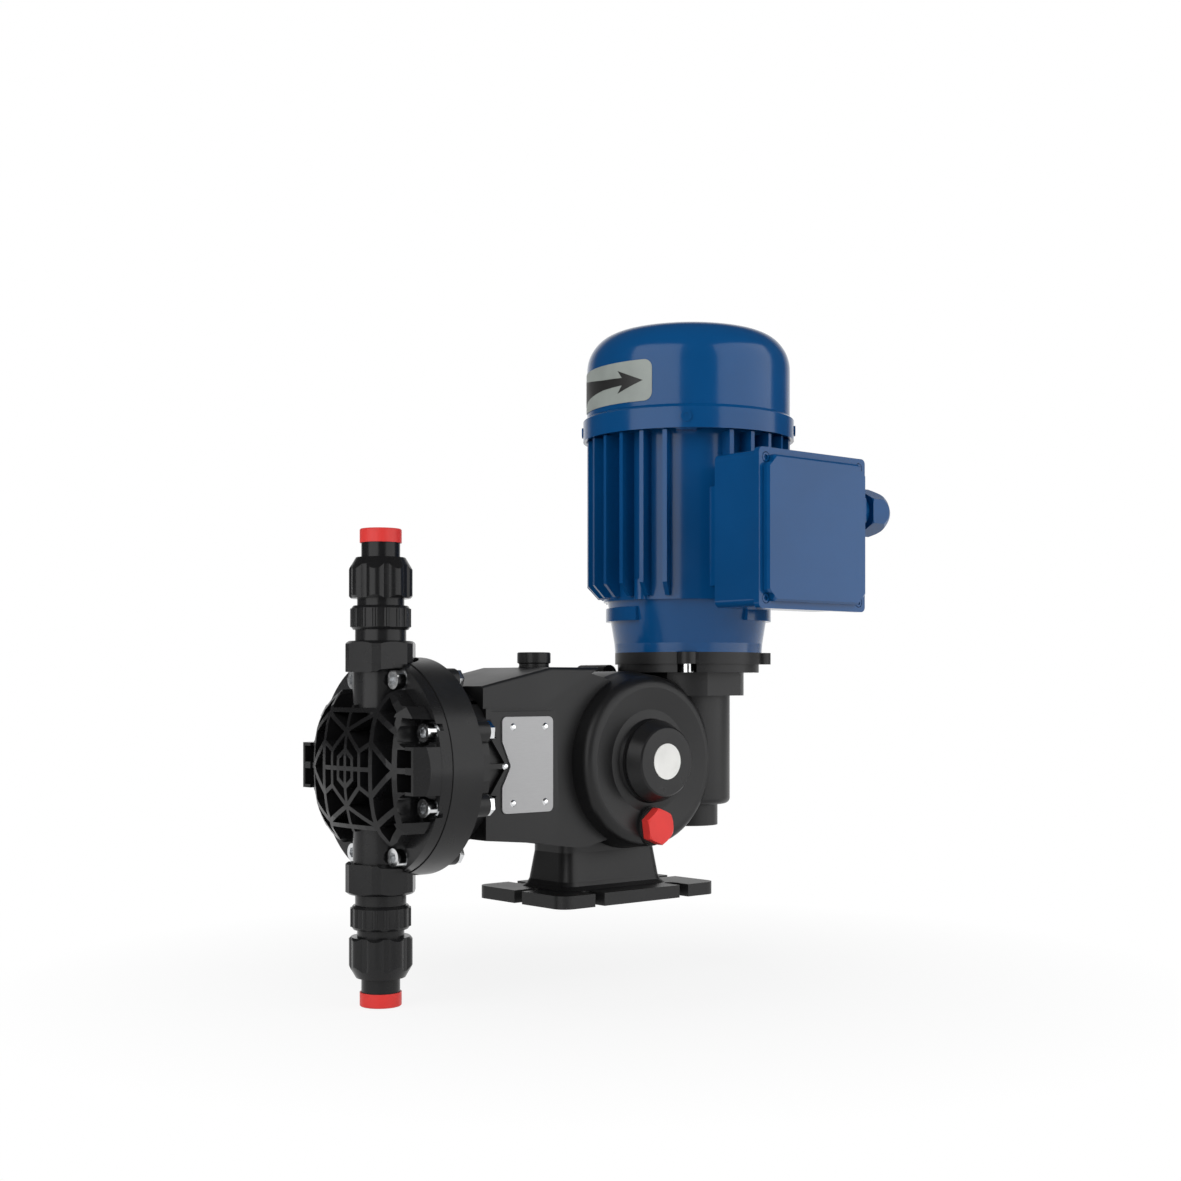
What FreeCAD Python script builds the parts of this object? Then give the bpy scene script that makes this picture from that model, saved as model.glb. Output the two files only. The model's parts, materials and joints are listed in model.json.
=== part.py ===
import FreeCAD, Part
import math
import os

V = FreeCAD.Vector
X = V(1, 0, 0)
Y = V(0, 1, 0)
Z = V(0, 0, 1)
os.makedirs("parts", exist_ok=True)

# Clearances in mm
RUN = 0.05
FREE = 0.4

# Main axes
ROD_Z = 81.6
VALVE_X = -155.1
WHEEL_X = 8.2
MODULE = 2.0
WHEEL_TEETH = 42
WORM_PITCH_R = 10.6
WHEEL_PITCH_R = MODULE * WHEEL_TEETH / 2
WORM_X = WHEEL_X + WHEEL_PITCH_R + WORM_PITCH_R
WORM_Y = -15.0

# Foot
FOOT_X = 121.3
FOOT_Y = 80.2
FOOT_T = 7.4
SLOT_R = 3.5
SLOT_SPACING = 66.0
SLOT_DEPTH = 12.0
SEAT_Z = 28.5
PAD = (-38.5, 33.0, -17.5, 17.5)
PAD_CORNER = 8.0

# Gear casing
BARREL_R = 52.5
BARREL_FRONT = -18.0
BARREL_BACK = 33.0
CHAMBER_R = 47.0
KNOB_BOSS_R = 24.0
KNOB_BOSS_Y = -42.0
FLANGE_R = 49.5
FLANGE_X = -130.5
FLANGE_T = 6.1
HEAD_BOLT_R = 51.0
HEAD_BOLTS = 8
SIDE_Y = 35.7
NECK_Y = 27.0
ROOF_Z = 136.0
FILLER_X = -49.0
WORM_HOUSING_R = 25.5
WORM_TOP = 133.5
DRAIN_Z = 43.5
DRAIN_Y = -39.9

# Rod and diaphragm
ROD_R = 7.0
TAPPET_X = -18.1
WALL_X = (-86.0, -78.0)
BUSH_X = (-92.0, -72.0)
DIAPHRAGM_R = 46.0
DIAPHRAGM_X = -141.0
RIM_T = 4.0


def box(x0, x1, y0, y1, z0, z1):
    return Part.makeBox(x1 - x0, y1 - y0, z1 - z0, V(x0, y0, z0))


def rounded_box(x0, x1, y0, y1, z0, z1, radius, axis):
    body = box(x0, x1, y0, y1, z0, z1)
    along = [e for e in body.Edges if abs(abs(e.tangentAt(e.FirstParameter).dot(axis)) - 1) < 1e-6]
    return body.makeFillet(radius, along)


def bar(radius, start, axis, length):
    return Part.makeCylinder(radius, length, V(*start), axis)


def ring(outer, inner, start, axis, length):
    return bar(outer, start, axis, length).cut(bar(inner, start, axis, length))


def across(axis):
    side = Y if abs(axis.x) > 0.5 else X
    return side, axis.cross(side)


def turned(profile, start, axis):
    side = across(axis)[0]
    points = [V(*start) + side * r + axis * t for r, t in profile]
    return Part.Face(Part.makePolygon(points + points[:1])).revolve(V(*start), axis, 360)


def prism(points, sweep):
    corners = [V(*p) for p in points]
    return Part.Face(Part.makePolygon(corners + corners[:1])).extrude(sweep)


def slab(outline, half_width):
    return prism([(x, -half_width, z) for x, z in outline], Y * (2 * half_width))


def ngon(count, radius, start, axis, length, turn=0.0):
    side, up = across(axis)
    points = []
    for index in range(count):
        angle = 2 * math.pi * index / count + math.radians(turn)
        points.append(V(*start) + side * (radius * math.cos(angle)) + up * (radius * math.sin(angle)))
    return Part.Face(Part.makePolygon(points + points[:1])).extrude(axis * length)


def hexagon(across_flats, start, axis, length, turn=0.0):
    return ngon(6, across_flats / math.sqrt(3), start, axis, length, turn)


def fused(first, *others):
    return first.fuse(list(others)).removeSplitter()


def moved(shape, x=0.0, y=0.0, z=0.0):
    copy = shape.copy()
    copy.translate(V(x, y, z))
    return copy


def turned_copy(shape, centre, axis, angle):
    copy = shape.copy()
    copy.rotate(V(*centre), axis, angle)
    return copy


def copies(shape, centre, axis, angles):
    return [turned_copy(shape, centre, axis, angle) for angle in angles]


def screw(radius, head_r, head_h, length, start, axis):
    """Socket screw: start is the seat of the head, the shank runs along the axis."""
    seat = V(*start)
    shank = Part.makeCylinder(radius, length, seat, axis)
    head = Part.makeCylinder(head_r, head_h, seat - axis * head_h, axis)
    socket = hexagon(head_r * 1.05, tuple(seat - axis * head_h), axis, head_h * 0.55)
    return shank.fuse(head).cut(socket)


def save(name, *solids):
    shape = solids[0] if len(solids) == 1 else Part.makeCompound(list(solids))
    shape.exportStep("parts/" + name + ".step")


# Foot with six open slots and a hollow drafted pedestal
def pedestal(top):
    flares = [(4.5, 6.0, FOOT_T), (3.0, 3.5, 9.5), (2.0, 2.5, 12.0), (0.0, 0.0, top)]
    wires = []
    for out_x, out_y, z in flares:
        layer = rounded_box(PAD[0] - out_x, PAD[1] + out_x, PAD[2] - out_y, PAD[3] + out_y, z, z + 1, PAD_CORNER, Z)
        under = [face for face in layer.Faces if face.BoundBox.ZMax < z + 0.01][0]
        wires.append(under.OuterWire)
    return Part.makeLoft(wires, True, True)


def open_slot(cx, cy, dx, dy):
    end = V(cx - dx * SLOT_DEPTH, cy - dy * SLOT_DEPTH, -1)
    hole = Part.makeCylinder(SLOT_R, FOOT_T + 2, end, Z)
    if dx:
        x0, x1 = sorted((end.x, cx + dx * 3))
        return hole.fuse(box(x0, x1, cy - SLOT_R, cy + SLOT_R, -1, FOOT_T + 1))
    y0, y1 = sorted((end.y, cy + dy * 3))
    return hole.fuse(box(cx - SLOT_R, cx + SLOT_R, y0, y1, -1, FOOT_T + 1))


FOOT_BOLT_XY = [(x, y) for x in (-26.0, 20.5) for y in (-10.5, 10.5)]
FOOT_BOLT_SEAT = 22.0
plate = rounded_box(-FOOT_X / 2, FOOT_X / 2, -FOOT_Y / 2, FOOT_Y / 2, 0, FOOT_T, 8.0, Z)
foot = fused(plate, pedestal(SEAT_Z))
for edge_y in (-1, 1):
    for slot_x in (-SLOT_SPACING / 2, SLOT_SPACING / 2):
        foot = foot.cut(open_slot(slot_x, edge_y * FOOT_Y / 2, 0, edge_y))
for edge_x in (-1, 1):
    foot = foot.cut(open_slot(edge_x * FOOT_X / 2, 0, edge_x, 0))
for hollow_y in (-15.5, 1.5):
    foot = foot.cut(box(PAD[0] + 4, PAD[1] - 4, hollow_y, hollow_y + 14.0, -1, FOOT_BOLT_SEAT))
for bolt_x, bolt_y in FOOT_BOLT_XY:
    foot = foot.cut(bar(2.8, (bolt_x, bolt_y, 10), Z, 25))
save("foot", foot)
foot_bolts = [screw(2.5, 4.25, 5.0, 11.0, (x, y, FOOT_BOLT_SEAT), Z) for x, y in FOOT_BOLT_XY]


# Gear casing: barrel, lantern, flange, worm housing and pads in one casting
WHEEL_C = (WHEEL_X, 0, ROD_Z)
barrel = turned([(0, BARREL_BACK), (BARREL_R, BARREL_BACK), (BARREL_R, BARREL_FRONT), (51.8, -22.0),
                 (49.6, -39.8), (43.0, -39.8), (30.0, -37.6), (KNOB_BOSS_R + 0.8, -38.2),
                 (KNOB_BOSS_R, -40.0), (KNOB_BOSS_R, KNOB_BOSS_Y), (0, KNOB_BOSS_Y)], WHEEL_C, Y)
shoulder = [e for e in barrel.Edges if e.BoundBox.XLength > 97 and e.BoundBox.YMax < -39]
barrel = barrel.makeFillet(6.0, shoulder)
REAR_LUG_ANGLES = (15, 75, 135, 195, 230, 310)
REAR_LUG_R = 52.5
rear_lugs = [turned_copy(bar(6.0, (WHEEL_X + REAR_LUG_R, 14, ROD_Z), Y, BARREL_BACK - 14), WHEEL_C, Y, -angle)
             for angle in REAR_LUG_ANGLES]
lower_box = slab([(-111, 41.5), (-111, 113), (-62, 113), (-60, 60), (-62, 37)], SIDE_Y)
roof = slab([(-111, 113), (-111, 125.3), (-62, ROOF_Z), (-27, ROOF_Z), (-29, 134.6), (-66, 116), (-66, 113)], 33.0)
roof_line = [e for e in roof.Edges if abs(abs(e.BoundBox.YMin) - 33) < 0.01 and e.BoundBox.YLength < 0.01
             and min(v.Z for v in e.Vertexes) > 125 and e.BoundBox.XLength > 20]
roof = roof.makeFillet(2.0, roof_line)
neck = slab([(-70, 37), (-70, 118), (-34, 134), (-20, 130.5), (0, 124), (0, 40), (-30, 33), (-40, 33)], NECK_Y)
flange = bar(FLANGE_R, (FLANGE_X, 0, ROD_Z), X, FLANGE_T)
collar = bar(44.0, (FLANGE_X + FLANGE_T, 0, ROD_Z), X, 16.5)
cheek = box(-125, -117, -47, 47, ROD_Z - 13.2, ROD_Z + 13.2).common(bar(47.5, (-126, 0, ROD_Z), X, 10))
bosses = [bar(6.3, (FLANGE_X, HEAD_BOLT_R, ROD_Z), X, 9.5)]
bolt_angles = [22.5 + 45 * index for index in range(HEAD_BOLTS)]
ROD_C = (0, 0, ROD_Z)
bosses = copies(bosses[0], ROD_C, X, bolt_angles)
foot_pad = rounded_box(*PAD, SEAT_Z, 50, PAD_CORNER, Z)
WORM_C = (WORM_X, WORM_Y, 0)
housing = bar(WORM_HOUSING_R, (WORM_X, WORM_Y, 53.5), Z, 66.5)
housing_rim = [e for e in housing.Edges if e.BoundBox.ZMax < 54 and e.BoundBox.XLength > 20]
housing = housing.makeFillet(3.5, housing_rim)
lower_boss = bar(18.0, (WORM_X, WORM_Y, 40.5), Z, 16)
upper_block = rounded_box(WORM_X - 31, WORM_X + 31, WORM_Y - 31, WORM_Y + 31, 119.5, WORM_TOP, 14.0, Z)
upper_block = upper_block.common(bar(34.0, (WORM_X, WORM_Y, 119), Z, 20))
side_plug_boss = bar(9.5, (WORM_X, WORM_Y, 97.5), X, WORM_HOUSING_R + 0.8)
bridge = box(WORM_X - 30, WORM_X, -28, 10, 60, 118)
drain_boss = bar(11.5, (WHEEL_X, DRAIN_Y, DRAIN_Z), Y, 8.4)
filler_boss = bar(9.0, (FILLER_X, 0, ROOF_Z - 4), Z, 4.6)
casing = fused(barrel, *rear_lugs, lower_box, roof, neck, flange, collar, cheek, *bosses, foot_pad, housing,
               lower_boss, upper_block, side_plug_boss, bridge, drain_boss, filler_boss)

# Casing cavities
CHAMBER_PROFILE = [(0, -33), (43, -33), (CHAMBER_R, -24), (CHAMBER_R, BARREL_BACK + 1), (0, BARREL_BACK + 1)]
cavities = [
    turned(CHAMBER_PROFILE, WHEEL_C, Y),
    rounded_box(WALL_X[1], -20, -22, 22, ROD_Z - 36, ROOF_Z - 8, 5.0, Y),
    rounded_box(-118, WALL_X[0], -29, 29, ROD_Z - 33, ROD_Z + 36, 5.0, X),
    bar(30.0, (FLANGE_X - 1, 0, ROD_Z), X, 16),
    bar(13.2, (WORM_X, WORM_Y, 52), Z, 60),
]
for cavity in cavities:
    casing = casing.cut(cavity)

# Guide boss in the cross wall and spindle boss in the front wall
guide_boss = bar(15.0, (WALL_X[0] - 6, 0, ROD_Z), X, WALL_X[1] - WALL_X[0] + 6)
spindle_boss = bar(18.0, (WHEEL_X, -35, ROD_Z), Y, 11)
casing = fused(casing, guide_boss, spindle_boss)

BUSH_OUT = 10.0
FRONT_BUSH = (-32.0, -24.5)
SPINDLE_R = 6.0
LOWER_BEARING_Z = 43.0
BEARING_6201 = (16.0, 10.0)
UPPER_BEARING_Z = 104.0
BEARING_6202 = (17.5, 11.0)
THIN_BEARING = (14.0, 7.0)
SEAL_Z = UPPER_BEARING_Z + THIN_BEARING[1]
SEAL_T = 6.0
bores = [
    bar(BUSH_OUT + RUN, (BUSH_X[0] - 5, 0, ROD_Z), X, 30),
    bar(14.0 + RUN, (WHEEL_X, FRONT_BUSH[0], ROD_Z), Y, 12),
    bar(SPINDLE_R + RUN, (WHEEL_X, -43, ROD_Z), Y, 15),
    bar(BEARING_6201[0] + RUN, (WORM_X, WORM_Y, 40), Z, LOWER_BEARING_Z + BEARING_6201[1] - 40),
    bar(THIN_BEARING[0] + RUN, (WORM_X, WORM_Y, UPPER_BEARING_Z), Z, THIN_BEARING[1] + SEAL_T),
    bar(19.0, (WORM_X, WORM_Y, SEAL_Z + SEAL_T), Z, 20),
    bar(6.6, (WHEEL_X, -40, DRAIN_Z), Y, 12),
    bar(5.6, (FILLER_X, 0, ROOF_Z - 12), Z, 14),
    bar(5.0 + RUN, (WORM_X + 13, WORM_Y, 97.5), X, 20),
]
for bore in bores:
    casing = casing.cut(bore)

# Side pockets behind the flange, grooves and bolt holes
HEAD_BOLT_HOLE = 3.3
for side in (-1, 1):
    y0, y1 = sorted((side * 32.5, side * 50.0))
    pocket = prism([(-117, y0, ROD_Z - 17.5), (-117, y0, ROD_Z + 17.5), (-111, y0, ROD_Z + 20),
                    (-97, y0, ROD_Z), (-111, y0, ROD_Z - 20)], Y * (y1 - y0))
    casing = casing.cut(pocket.cut(box(-120, -96, -SIDE_Y, SIDE_Y, ROD_Z - 1.4, ROD_Z + 1.4)))
    y0, y1 = sorted((side * (SIDE_Y - 2.2), side * 40.0))
    casing = casing.cut(box(-107, -56, y0, y1, 111.4, 114.2))
for angle in bolt_angles:
    hole = bar(HEAD_BOLT_HOLE, (FLANGE_X - 1, HEAD_BOLT_R, ROD_Z), X, 12)
    casing = casing.cut(turned_copy(hole, ROD_C, X, angle))
for angle in REAR_LUG_ANGLES:
    hole = bar(2.0 + RUN, (WHEEL_X + REAR_LUG_R, BARREL_BACK - 13, ROD_Z), Y, 14)
    casing = casing.cut(turned_copy(hole, WHEEL_C, Y, -angle))
for bolt_x, bolt_y in FOOT_BOLT_XY:
    casing = casing.cut(bar(2.5 + RUN, (bolt_x, bolt_y, SEAT_Z - 1), Z, 5.6))
ADAPTER_SCREW_R = 25.0
for angle in (0, 90, 180, 270):
    hole = bar(2.5 + RUN, (WORM_X + ADAPTER_SCREW_R, WORM_Y, WORM_TOP - 11), Z, 12)
    casing = casing.cut(turned_copy(hole, WORM_C, Z, angle))
PLATE = (-100.4, -64.7, 55.6, 108.5)
RIVETS = [(x, z) for x in (PLATE[0] + 7.5, PLATE[1] - 5.5) for z in (PLATE[2] + 5.5, PLATE[3] - 5.5)]
for rivet_x, rivet_z in RIVETS:
    casing = casing.cut(bar(1.0 + RUN, (rivet_x, -SIDE_Y - 1, rivet_z), Y, 5))
PIN_X = -97.8
casing = casing.cut(bar(1.0 + RUN, (PIN_X, -SIDE_Y - 1, ROD_Z), Y, 5))
save("gear_casing", casing)


# Rear cover of the gear chamber, its gasket and screws
GASKET_T = 1.0
COVER_T = 6.0
REAR_BEARING_Y = 23.0


def rear_plate(y, thickness, inner):
    body = bar(BARREL_R, (WHEEL_X, y, ROD_Z), Y, thickness)
    lug = bar(6.0, (WHEEL_X + REAR_LUG_R, y, ROD_Z), Y, thickness)
    body = fused(body, *copies(lug, WHEEL_C, Y, [-angle for angle in REAR_LUG_ANGLES]))
    if inner:
        body = body.cut(bar(inner, (WHEEL_X, y, ROD_Z), Y, thickness))
    hole = bar(2.3, (WHEEL_X + REAR_LUG_R, y - 1, ROD_Z), Y, thickness + 2)
    for angle in REAR_LUG_ANGLES:
        body = body.cut(turned_copy(hole, WHEEL_C, Y, -angle))
    return body


cover_gasket = rear_plate(BARREL_BACK, GASKET_T, CHAMBER_R)
cover_y = BARREL_BACK + GASKET_T
rear_cover = rear_plate(cover_y, COVER_T, 0)
bearing_boss = turned([(0, 22.5), (22, 22.5), (24, cover_y), (0, cover_y)], WHEEL_C, Y)
outer_boss = turned([(0, cover_y + COVER_T), (24, cover_y + COVER_T), (21, cover_y + 9), (0, cover_y + 9)], WHEEL_C, Y)
cover_ribs = [turned_copy(box(WHEEL_X + 18, WHEEL_X + 46, cover_y + COVER_T, cover_y + COVER_T + 2.2,
                              ROD_Z - 1.5, ROD_Z + 1.5), WHEEL_C, Y, -angle) for angle in REAR_LUG_ANGLES]
rear_cover = fused(rear_cover, bearing_boss, outer_boss, *cover_ribs)
rear_cover = rear_cover.cut(bar(BEARING_6202[0] + RUN, (WHEEL_X, 20, ROD_Z), Y, cover_y - 20))
save("rear_cover", rear_cover)
cover_screw = screw(2.0, 3.5, 4.0, 17.0, (WHEEL_X + REAR_LUG_R, cover_y + COVER_T, ROD_Z), -Y)
rear_cover_screws = copies(cover_screw, WHEEL_C, Y, [-angle for angle in REAR_LUG_ANGLES])

# Plugs, filler cap, nameplate
WASHER_Y = DRAIN_Y - 1.5
drain_washer = ring(11.0, 6.8, (WHEEL_X, WASHER_Y, DRAIN_Z), Y, 1.5)
drain_hex = hexagon(19.0, (WHEEL_X, WASHER_Y - 5.8, DRAIN_Z), Y, 5.8, 22.0)
drain_dome = turned([(0, -5.8), (9.6, -5.8), (11.2, -4.6), (11.2, 0), (0, 0)], (WHEEL_X, WASHER_Y, DRAIN_Z), Y)
drain_plug = fused(drain_hex.common(drain_dome), bar(6.5, (WHEEL_X, WASHER_Y, DRAIN_Z), Y, 7.5))
save("drain_plug", drain_plug)
CAP_Z = ROOF_Z + 0.6
filler_profile = [(0, CAP_Z), (8.7, CAP_Z), (8.7, CAP_Z + 1.6), (9.7, CAP_Z + 2.2), (9.7, 144.3), (9.2, 144.8), (0, 144.8)]
filler_cap = fused(turned(filler_profile, (FILLER_X, 0, 0), Z), bar(5.0, (FILLER_X, 0, CAP_Z - 9), Z, 9),
                   bar(1.3, (FILLER_X, 0, 101), Z, 28))
save("filler_cap", filler_cap)
plug_x = WORM_X + WORM_HOUSING_R + 0.8
side_plug = screw(5.0, 7.0, 1.8, 10.0, (plug_x, WORM_Y, 97.5), -X)
save("side_plug", side_plug)
PLATE_T = 0.8
x0, x1, z0, z1 = PLATE
outline = [(x0, z0), (x1, z0), (x1, z1), (x0, z1), (x0, 95.0), (x0 + 5.6, ROD_Z + 0.8), (x0 + 5.6, ROD_Z - 0.8), (x0, 70.0)]
nameplate = prism([(x, -SIDE_Y - PLATE_T, z) for x, z in outline], Y * PLATE_T)
plate_corners = [e for e in nameplate.Edges if e.BoundBox.YLength > 0.7 and abs(e.BoundBox.ZMin - 82) > 20]
nameplate = nameplate.makeFillet(3.0, plate_corners)
for rivet_x, rivet_z in RIVETS:
    nameplate = nameplate.cut(bar(1.3, (rivet_x, -SIDE_Y - 2, rivet_z), Y, 4))
save("nameplate", nameplate)


def rivet(x, z, seat):
    head = turned([(0, seat - 0.9), (1.2, seat - 0.8), (2.0, seat), (0, seat)], (x, 0, z), Y)
    return head.fuse(bar(1.0, (x, seat, z), Y, -SIDE_Y + 3 - seat))


rivets = [rivet(x, z, -SIDE_Y - PLATE_T) for x, z in RIVETS]
save("nameplate_rivets", *rivets, rivet(PIN_X, ROD_Z, -SIDE_Y))

# Worm with its bearings, seal and the cap below it
HELIX_PITCH = math.pi * MODULE
TOOTH = 2.8
WORM_TIP_R = WORM_PITCH_R + MODULE
WORM_ROOT_R = WORM_PITCH_R - 1.2 * MODULE
THREAD_TURNS = 6
SLOPE = math.tan(math.radians(20))
thread_z = ROD_Z - HELIX_PITCH * (THREAD_TURNS / 2)
thread_z += HELIX_PITCH / 2
thread_z -= HELIX_PITCH
sink = WORM_ROOT_R - 0.4
profile = []
for radius, sign in ((sink, -1), (WORM_TIP_R, -1), (WORM_TIP_R, 1), (sink, 1)):
    half = TOOTH / 2 - (radius - WORM_PITCH_R) * SLOPE
    profile.append(V(radius, 0, sign * half))
helix = Part.makeHelix(HELIX_PITCH, HELIX_PITCH * THREAD_TURNS, WORM_PITCH_R)
section = Part.makePolygon(profile + profile[:1])
thread = Part.Wire(helix.Edges).makePipeShell([section], True, True)
thread.translate(V(WORM_X, WORM_Y, thread_z))
worm_core = turned([(0, 43.4), (6, 43.4), (6, 53.4), (WORM_ROOT_R, 53.4), (WORM_ROOT_R, 103.6), (7.5, 103.6),
                    (7.5, 128), (0, 128)], WORM_C, Z)
worm = worm_core.fuse(thread)
save("worm", worm)
bearings = [ring(BEARING_6201[0], 6 + RUN, (WORM_X, WORM_Y, LOWER_BEARING_Z), Z, BEARING_6201[1]),
            ring(THIN_BEARING[0], 7.5 + RUN, (WORM_X, WORM_Y, UPPER_BEARING_Z), Z, THIN_BEARING[1])]
save("worm_end_cap", bar(BEARING_6201[0], (WORM_X, WORM_Y, 40.8), Z, 2.2))
seals = [ring(THIN_BEARING[0], 7.5 + RUN, (WORM_X, WORM_Y, SEAL_Z), Z, SEAL_T)]

# Worm wheel with involute teeth lofted along the helix
WHEEL_Y = (WORM_Y - 7.0, WORM_Y + 7.0)
TIP_R = WHEEL_PITCH_R + MODULE
ROOT_R = WHEEL_PITCH_R - 1.2 * MODULE
BASE_R = WHEEL_PITCH_R * math.cos(math.radians(20))
TWIST = math.degrees(1 / WHEEL_PITCH_R) * HELIX_PITCH / (2 * math.pi * WORM_PITCH_R)


def involute(radius):
    angle = math.acos(min(1.0, BASE_R / radius))
    return math.tan(angle) - angle


def tooth_half_angle(radius):
    return TOOTH / (2 * WHEEL_PITCH_R) + involute(WHEEL_PITCH_R) - involute(radius)


def wheel_outline(y):
    points = []
    shift = math.radians(TWIST * (y - WORM_Y))
    radii = (ROOT_R, 40.9, WHEEL_PITCH_R, TIP_R)
    for index in range(WHEEL_TEETH):
        centre = 2 * math.pi * (index + 0.5) / WHEEL_TEETH - shift
        flank = [(r, -tooth_half_angle(r)) for r in radii] + [(r, tooth_half_angle(r)) for r in reversed(radii)]
        for r, offset in flank:
            points.append(V(WHEEL_X + r * math.cos(centre + offset), y, ROD_Z + r * math.sin(centre + offset)))
    return Part.makePolygon(points + points[:1])


HUB_R = 12.0
worm_wheel = Part.makeLoft([wheel_outline(WHEEL_Y[0]), wheel_outline(WHEEL_Y[1])], True, True)
worm_wheel = worm_wheel.cut(bar(HUB_R + RUN, (WHEEL_X, WHEEL_Y[0] - 1, ROD_Z), Y, 16))
for web_y in (WHEEL_Y[0] - 1, WHEEL_Y[1] - 3):
    worm_wheel = worm_wheel.cut(ring(35, 18, (WHEEL_X, web_y, ROD_Z), Y, 4))
lightening = bar(5.0, (WHEEL_X + 26.5, WHEEL_Y[0] - 1, ROD_Z), Y, 16)
for index in range(6):
    worm_wheel = worm_wheel.cut(turned_copy(lightening, WHEEL_C, Y, 60 * index))
save("worm_wheel", worm_wheel)

# Wheel shaft with square drive, variable eccentric and control pin
STROKE_ECC = 2.0
PIN_TRAVEL = 7.5
SQUARE = 8.0
CROSS_PIN_R = 1.5
CROSS_PIN_X = WHEEL_X + 1.0
ECC_R = 20.0
CAM_R = 24.0
CONTROL_R = 5.0
wheel_shaft = turned([(0, -30), (11, -30), (11, -22.2), (HUB_R, -22.2), (HUB_R, -SQUARE), (0, -SQUARE)], WHEEL_C, Y)
square = box(WHEEL_X - SQUARE, WHEEL_X + SQUARE, -SQUARE, SQUARE, ROD_Z - SQUARE, ROD_Z + SQUARE)
wheel_shaft = fused(wheel_shaft, square, bar(7.5, (WHEEL_X, SQUARE, ROD_Z), Y, 24))
wheel_shaft = wheel_shaft.cut(bar(CONTROL_R + 0.07, (WHEEL_X, -31, ROD_Z), Y, 53))
wheel_shaft = wheel_shaft.cut(box(WHEEL_X - 2.85, WHEEL_X + 2.85, -1.85, 1.85, ROD_Z - 10, ROD_Z + 10))
save("wheel_shaft", wheel_shaft)
save("shaft_spacer", ring(12, 7.5 + RUN, (WHEEL_X, SQUARE, ROD_Z), Y, REAR_BEARING_Y - SQUARE - 0.3))
bearings.append(ring(BEARING_6202[0], 7.5 + RUN, (WHEEL_X, REAR_BEARING_Y, ROD_Z), Y, 11))
bushes = [ring(14, 11 + RUN, (WHEEL_X, FRONT_BUSH[0], ROD_Z), Y, FRONT_BUSH[1] - FRONT_BUSH[0])]
ecc_x = WHEEL_X + STROKE_ECC
eccentric = bar(ECC_R, (ecc_x, -7, ROD_Z), Y, 14)
eccentric = eccentric.cut(box(ecc_x - SQUARE - STROKE_ECC - 0.3, ecc_x + SQUARE + 0.3, -8, 8,
                              ROD_Z - SQUARE - RUN, ROD_Z + SQUARE + RUN))
eccentric = eccentric.cut(bar(CROSS_PIN_R + RUN, (CROSS_PIN_X, 0, ROD_Z - 25), Z, 50))
save("eccentric", eccentric)
save("cam_ring", ring(CAM_R, ECC_R + RUN, (ecc_x, -7, ROD_Z), Y, 14))
save("eccentric_pin", bar(CROSS_PIN_R, (CROSS_PIN_X, 0, ROD_Z - 19), Z, 38))
control_pin = bar(CONTROL_R, (WHEEL_X, -31.7, ROD_Z), Y, 43.7)
incline = STROKE_ECC / PIN_TRAVEL
along = V(incline, 1, 0)
along.normalize()
normal = V(along.y, -along.x, 0)
slot_ends = [V(CROSS_PIN_X + incline * y, y, ROD_Z - 10) for y in (-10.6, 3.1)]
slot_points = [slot_ends[0] - normal * 1.8, slot_ends[0] + normal * 1.8, slot_ends[1] + normal * 1.8, slot_ends[1] - normal * 1.8]
control_pin = control_pin.cut(prism([tuple(p) for p in slot_points], Z * 20))
save("control_pin", control_pin)

# Stroke knob and its spindle
knob = turned([(6.3, -42.4), (23.9, -42.4), (23.9, -43.4), (20.4, -51.2), (19.4, -52), (10.6, -52), (10.6, -51.4),
               (0, -51.4), (0, -50.4), (6.3, -50.4)], WHEEL_C, Y)
save("stroke_knob", knob)
save("knob_disc", bar(10.4, (WHEEL_X, -52.3, ROD_Z), Y, 0.9))
spindle = fused(bar(SPINDLE_R, (WHEEL_X, -50, ROD_Z), Y, 11.7), bar(4.5, (WHEEL_X, -38.3, ROD_Z), Y, 6.3))
save("adjusting_spindle", spindle)

# Push rod with tappet and spring seat, bush, seal and return spring
ROD_FRONT = -136.0
SEAT_DISC = (-45.0, -41.0)
tappet = bar(13.0, (-24, 0, ROD_Z), X, TAPPET_X + 24).cut(box(-30, 0, -20, -7.4, 50, 110))
seat_disc = bar(15.5, (SEAT_DISC[0], 0, ROD_Z), X, SEAT_DISC[1] - SEAT_DISC[0])
push_rod = fused(bar(ROD_R, (ROD_FRONT, 0, ROD_Z), X, -20 - ROD_FRONT), tappet, seat_disc)
save("push_rod", push_rod)
bushes.append(ring(BUSH_OUT, ROD_R + RUN, (BUSH_X[0], 0, ROD_Z), X, BUSH_X[1] - BUSH_X[0]))
save("bushes", *bushes)
seals.append(ring(13, ROD_R + RUN, (BUSH_X[0] - 5, 0, ROD_Z), X, 5))
WIRE_R = 1.6
spring_turns = 4
spring_length = SEAT_DISC[0] - WALL_X[1] - 2 * WIRE_R
coil = Part.makeHelix(spring_length / spring_turns, spring_length, 13.2)
wire_circle = Part.Wire([Part.makeCircle(WIRE_R, V(13.2, 0, 0), V(0, 1, 0))])
spring = Part.Wire(coil.Edges).makePipeShell([wire_circle], True, True)
spring.rotate(V(0, 0, 0), Y, 90)
spring.translate(V(WALL_X[1] + WIRE_R, 0, ROD_Z))
save("return_spring", spring)


# Motor adapter on the worm housing
MOTOR_C = (WORM_X, WORM_Y, 0)
DIAGONALS = (45, 135, 225, 315)
ADAPTER_TOP = 145.5
PLATE_Z = 138.5
SPIGOT_R = 30.0
SPIGOT_Z = 143.0
BOLT_CIRCLE_R = 37.5


def around(shape, angles):
    return copies(shape, MOTOR_C, Z, angles)


def at(radius, z):
    return (WORM_X + radius, WORM_Y, z)


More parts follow.
